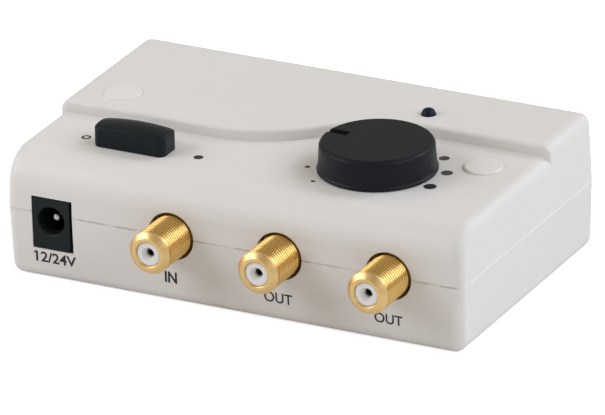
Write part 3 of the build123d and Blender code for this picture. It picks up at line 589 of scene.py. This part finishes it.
def threaded_barrel(name):
    """A barrel's profile spun round the socket's axis, with the thread's dip on its wall.

    x = axis + (radius - dip) * cos(angle), z the same with the sine, and y = depth."""
    low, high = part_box(name + "_barrel")
    plug_low, plug_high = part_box(name + "_insulator")
    centre_x, _, centre_z = middle(name + "_insulator")
    profile = barrel_profile(low.y, high.y, (plug_high.x - plug_low.x) / 2 + BORE_GAP,
                             (high.x - low.x) / 2)
    depth, radius = profile[:, 0:1], profile[:, 1:2]
    angle = full_turn(BARREL_COLUMNS)
    nose, collar_front = low.y + NOSE_SIZE, high.y - COLLAR_LENGTH
    on_wall = (radius > BARREL_RADIUS - HAIR) & (depth > nose) & (depth < collar_front)
    start = nose + PLAIN_BAND
    spun = radius - np.where(on_wall, thread_dip(depth - start, angle, collar_front - start), 0.0)
    points = np.stack([centre_x + spun * np.cos(angle), np.broadcast_to(depth, spun.shape),
                       centre_z + spun * np.sin(angle)], axis=-1)
    piece = add_piece(name + "_threaded", grid_mesh(name + "_threaded", points), gold, "case")
    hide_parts(name + "_barrel")
    return piece


barrels = [threaded_barrel(name) for name in SOCKETS]
print(len(barrels), "threaded barrels of", len(barrels[0].data.polygons), "faces")

# %% [markdown]
# ## The rims of the screw caps
#
# A press-in cap ends in a thin lip that rests on the case round its hole and hides the gap. Each
# cap gets one: a flat button with a rounded edge, spun round the cap's axis, which rides on the
# cap. The way round matters. A section that runs up its outer side and an angle that turns
# clockwise give faces that point outwards.

# %% Round the screw caps
CAP_LIP = 0.00014
CAP_EDGE = 0.0004
CAP_CROWN = 0.00005
CAP_SKIN = 0.0001
LEFT_CAP_PROUD, RIGHT_CAP_PROUD = 0.0002, 0.0004
CAP_COLUMNS = 96
AXIS_GAP = 0.00002


def spin(section, centre, base, columns):
    """Spins a closed section of radius and height round an upright axis.

    x = centre x + radius * cos(angle), y the same with the sine, and z = base + height."""
    radius, height = section[:, 0:1], section[:, 1:2]
    angle = -full_turn(columns)
    return np.stack([centre[0] + radius * np.cos(angle), centre[1] + radius * np.sin(angle),
                     np.broadcast_to(base + height, (len(section), columns))], axis=-1)


def cap_section(radius, rise):
    """Radius and height round half a button: a rounded edge, a slightly crowned top and a foot.

    The edge is a quarter of an ellipse, and the crown falls with the square of the radius."""
    turn = np.radians(np.linspace(0, 90, 10))
    edge = np.column_stack([radius - CAP_EDGE * (1 - np.cos(turn)), rise * np.sin(turn)])
    inner = np.linspace(radius - CAP_EDGE, AXIS_GAP, 16)
    crown = np.column_stack([inner, rise + CAP_CROWN * (1 - (inner / inner[0]) ** 2)])[1:]
    return np.vstack([edge, crown, [(AXIS_GAP, 0.0), (radius * 0.5, 0.0)]])


def cap_rim(node, body, proud):
    """A button from the case's surface to a skin's thickness above a cap that stands proud."""
    low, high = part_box(node)
    section = cap_section((high.x - low.x) / 2 + CAP_LIP, proud + CAP_SKIN)
    mesh = grid_mesh(node + "_rim", spin(section, middle(node), high.z - proud, CAP_COLUMNS))
    return add_piece(node + "_rim", mesh, cap_plastic_painted_light, body)


rims = [cap_rim("screw_cap_left", "cap_left", LEFT_CAP_PROUD),
        cap_rim("screw_cap_right", "cap_right", RIGHT_CAP_PROUD)]
print(len(rims), "cap rims of", len(rims[0].data.polygons), "faces")

# %% [markdown]
# ## The lamp
#
# A small lamp sits low in its hole, so only its blunt dome shows, and its foot covers the hole's
# edge. The dome is neither a ball nor a box. A curve between the two, whose sine and cosine are
# raised to a power below 1, gives it.

# %% Turn the lamp's dome
LAMP_FOOT = 0.00168
LAMP_RISE = 0.00132
LAMP_STEM_RADIUS, LAMP_STEM_LENGTH = 0.0014, 0.0014
LAMP_BLUNTNESS = 0.5
LAMP_LEAN = 0.3
LAMP_COLUMNS = 64
PLATEAU_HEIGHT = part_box("screw_cap_left")[1].z - LEFT_CAP_PROUD


def lamp_section():
    """Radius and height round half a lamp: a blunt dome, its tip, and a stem that goes down.

    The dome is rise * sin(turn) ** bluntness up and foot * cos(turn) ** bluntness out, and it
    narrows with its height by the lean."""
    turn = np.radians(np.linspace(0, 88, 24))
    up = np.sin(turn) ** LAMP_BLUNTNESS
    out = np.cos(turn) ** LAMP_BLUNTNESS * (1 - LAMP_LEAN * up)
    dome = np.column_stack([LAMP_FOOT * out, LAMP_RISE * up])
    stem = [(AXIS_GAP, LAMP_RISE), (AXIS_GAP, -LAMP_STEM_LENGTH),
            (LAMP_STEM_RADIUS, -LAMP_STEM_LENGTH), (LAMP_STEM_RADIUS, 0.0)]
    return np.vstack([dome, stem])


lamp_points = spin(lamp_section(), middle("lamp_lens"), PLATEAU_HEIGHT, LAMP_COLUMNS)
lamp_dome = add_piece("lamp_dome", grid_mesh("lamp_dome", lamp_points), lamp_plastic, "case")
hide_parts("lamp_lens")
print("a lamp of", len(lamp_dome.data.polygons), "faces")

# %% [markdown]
# ## The printing
#
# Ink on plastic is a film a few hundredths of a millimetre thick. It could be a mask in the case's
# material, but a letter's outline is easier to get from a font. So each mark is a very thin plate
# that lies on the surface. Two marks flank the switch, and nine dots that grow from left to right
# go round the knob.

# %% Ink and the marks on the deck
INK_FILM = 0.00003
INK_GRAIN_DEPTH = 0.000004
KNOB_GAP = 0.00025
DECK_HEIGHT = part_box("gain_knob")[0].z - KNOB_GAP
MARK_COLUMNS = 40
MARK_RADIUS = 0.00105
SWITCH_MARK_Y = -0.0183
OFF_MARK_X, ON_MARK_X = -0.04155, -0.01465
RING_HOLE, DOT_HOLE = 0.55, 0.02
SCALE_RADIUS = 0.01488
SCALE_START, SCALE_END = 230.6, -15.9
SCALE_DOTS = 9
DOT_RADIUS, DOT_GROWTH = 0.0005, 0.0009


def ink(name, colour):
    """Printing ink: nearly even, with faint thin places and a satin gloss."""
    finish = Finish(name)
    thin = finish.noise(1800.0, 3.0, 0.7)
    lighter = tuple(v * 1.5 + 0.004 for v in colour)
    finish.set(base_color=finish.colour(thin.step(0.55, 0.85), colour, lighter),
               roughness=0.42 + thin * 0.1, normal=finish.bump(thin, INK_GRAIN_DEPTH))
    return finish


dark_ink = ink("dark ink", shade(30, 31, 36))
grey_ink = ink("grey ink", shade(58, 59, 64))


def mark(name, centre, radius, hole, finish):
    """A thin ring on the deck, with a hole that is a share of its radius: a rectangle spun."""
    section = np.array([(radius * hole, 0.0), (radius, 0.0), (radius, INK_FILM),
                        (radius * hole, INK_FILM)])
    points = spin(section, centre, DECK_HEIGHT, MARK_COLUMNS)
    return add_piece(name, grid_mesh(name, points, smooth=False), finish, "case")


marks = [mark("mark_off", (OFF_MARK_X, SWITCH_MARK_Y), MARK_RADIUS, RING_HOLE, dark_ink),
         mark("mark_on", (ON_MARK_X, SWITCH_MARK_Y), MARK_RADIUS, DOT_HOLE, dark_ink)]
knob_x, knob_y, _ = middle("gain_knob")
for share in np.linspace(0, 1, SCALE_DOTS):
    turn = np.radians(SCALE_START + (SCALE_END - SCALE_START) * share)
    spot = (knob_x + SCALE_RADIUS * np.cos(turn), knob_y + SCALE_RADIUS * np.sin(turn))
    marks.append(mark("scale_dot_%d" % (len(marks) - 1), spot, DOT_RADIUS + DOT_GROWTH * share,
                      DOT_HOLE, dark_ink if share == 1 else grey_ink))
print("deck at", round(DECK_HEIGHT * 1000, 2), "mm with", len(marks), "marks")

# %% [markdown]
# ## The lettering
#
# Blender's own plain typeface gives the letters. Text is an outline object that could be left as it
# is, but a mesh is needed here: its points are moved one by one onto the wall, which slopes back
# towards its foot. Each word is stretched to the box that it fills on the real case.

# %% Words on the front wall
FRONT_Y = -0.0325
WALL_SLOPE = np.tan(np.radians(1.7))


def word(name, text, left, right, low, high, weight):
    """Sets a word on the front wall between two places along it and two heights.

    x and z come from stretching the flat word to the box; y is the wall's depth at that height,
    which is the front plus the slope times the distance below the seam, less the film. The
    text's own thickness doesn't matter, because the film takes its place."""
    curve = bpy.data.curves.new(name, "FONT")
    curve.body = text
    curve.extrude = 0.5
    curve.offset = weight
    flat = bpy.data.objects.new(name + "_flat", curve)
    bpy.context.scene.collection.objects.link(flat)
    bpy.context.view_layer.update()
    graph = bpy.context.evaluated_depsgraph_get()
    mesh = bpy.data.meshes.new_from_object(flat.evaluated_get(graph))
    bpy.data.objects.remove(flat)
    points = np.empty(len(mesh.vertices) * 3, dtype=np.float32)
    mesh.vertices.foreach_get("co", points)
    points = points.reshape(-1, 3).astype(float)
    lowest, highest = points.min(axis=0), points.max(axis=0)
    share = (points - lowest) / (highest - lowest)
    x = left + share[:, 0] * (right - left)
    z = low + share[:, 1] * (high - low)
    y = FRONT_Y + (SEAM_HEIGHT - z) * WALL_SLOPE - share[:, 2] * INK_FILM
    placed = np.column_stack([x, y, z]).astype(np.float32)
    mesh.vertices.foreach_set("co", placed.reshape(-1))
    mesh.materials.clear()
    mesh.name = name
    mesh.update()
    return add_piece(name, mesh, dark_ink, "case")


words = [word("word_supply", "12/24V", -0.0471, -0.0374, 0.004, 0.00642, 0.02),
         word("word_supply_flag", "/", -0.04765, -0.04695, 0.0058, 0.00642, 0.05),
         word("word_in", "IN", -0.0161, -0.0132, 0.0046, 0.0072, 0.03),
         word("word_out_1", "OUT", 0.0075, 0.0141, 0.0045, 0.0069, 0.012),
         word("word_out_2", "OUT", 0.0334, 0.03995, 0.0044, 0.0067, 0.012)]
print(len(words), "words of", sum(len(w.data.polygons) for w in words), "faces")

# %% [markdown]
# ## The floor
#
# Product pictures stand on white with a faint shadow. More light would whiten the floor, but the
# case too. So the floor's own colour gives part of that white, and to the camera alone it also
# glows, which lifts it to white without more light on the object.

# %% Lay the floor
FLOOR_SIZE = 6.0
FLOOR_COLOUR = (0.82, 0.82, 0.82, 1.0)
FLOOR_GLOW = 0.65
WHITE = (1.0, 1.0, 1.0, 1.0)


def floor_material():
    """The floor's own colour, plus a glow that only the camera sees."""
    finish = Finish("floor")
    seen = finish.node("ShaderNodeLightPath", {}, {}, "Is Camera Ray")
    glow = finish.node("ShaderNodeEmission", {}, {"Color": WHITE, "Strength": seen * FLOOR_GLOW})
    finish.set(base_color=FLOOR_COLOUR, roughness=0.9, specular_ior_level=0.0)
    finish.feed(finish.surface, finish.node("ShaderNodeAddShader", {}, {0: glow, 1: finish.shader}))
    return finish.material


half = FLOOR_SIZE / 2
floor_corners = np.array([[(-half, -half, 0.0), (-half, half, 0.0)],
                          [(half, -half, 0.0), (half, half, 0.0)]])
floor_mesh = grid_mesh("floor", floor_corners, False, False, False)
floor_mesh.materials.append(floor_material())
floor = bpy.data.objects.new("floor", floor_mesh)
bpy.context.scene.collection.objects.link(floor)
print("floor", FLOOR_SIZE, "m wide")

# %% [markdown]
# ## The light
#
# Soft light without hard shadows comes from large lamps. One could hang above, but then the sides
# would be dark. Here lamps stand to the right and behind, for the right side and the top. Two on
# the left reach the front, and the nearer one makes it fall off from left to right. The rest of
# the room is dim and warm, and the camera sees it as white.

# %% The room and the lamps
ROOM_COLOUR = (1.0, 0.897, 0.69, 1.0)
ROOM_LEVEL = 0.405

world = bpy.data.worlds.new("studio")
bpy.context.scene.world = world
world.use_nodes = True
room = Graph(world.node_tree, "ShaderNodeOutputWorld")
seen = room.node("ShaderNodeLightPath", {}, {}, "Is Camera Ray")
warm = room.node("ShaderNodeBackground", {}, {"Color": ROOM_COLOUR, "Strength": ROOM_LEVEL})
white = room.node("ShaderNodeBackground", {}, {"Color": WHITE, "Strength": 1.0})
room.feed(room.surface, room.node("ShaderNodeMixShader", {}, {0: seen, 1: warm, 2: white}))


def soft_lamp(name, place, width, power, colour=(1.0, 1.0, 1.0)):
    """A square lamp that looks at the middle of the case."""
    data = bpy.data.lights.new(name, "AREA")
    data.shape = "SQUARE"
    data.size = width
    data.energy = power
    data.color = colour
    lamp = bpy.data.objects.new(name, data)
    bpy.context.scene.collection.objects.link(lamp)
    direction = Vector((0.0, 0.0, SEAM_HEIGHT)) - Vector(place)
    turned = direction.to_track_quat("-Z", "Y").to_matrix().to_4x4()
    lamp.matrix_world = Matrix.Translation(place) @ turned
    return lamp


lamps = [soft_lamp("right", (1.3, -0.2, 0.9), 0.9, 9.4, (0.82, 0.9, 1.0)),
         soft_lamp("back", (0.8, 0.9, 0.9), 0.8, 9.5, (0.82, 0.86, 1.0)),
         soft_lamp("left", (-0.9, -0.2, 0.5), 0.6, 1.8),
         soft_lamp("near", (-0.35, -0.3, 0.3), 0.3, 1.05, (0.86, 0.88, 1.0))]
print(len(lamps), "lamps of", round(sum(lamp.data.energy for lamp in lamps), 2), "W in all")

# %% [markdown]
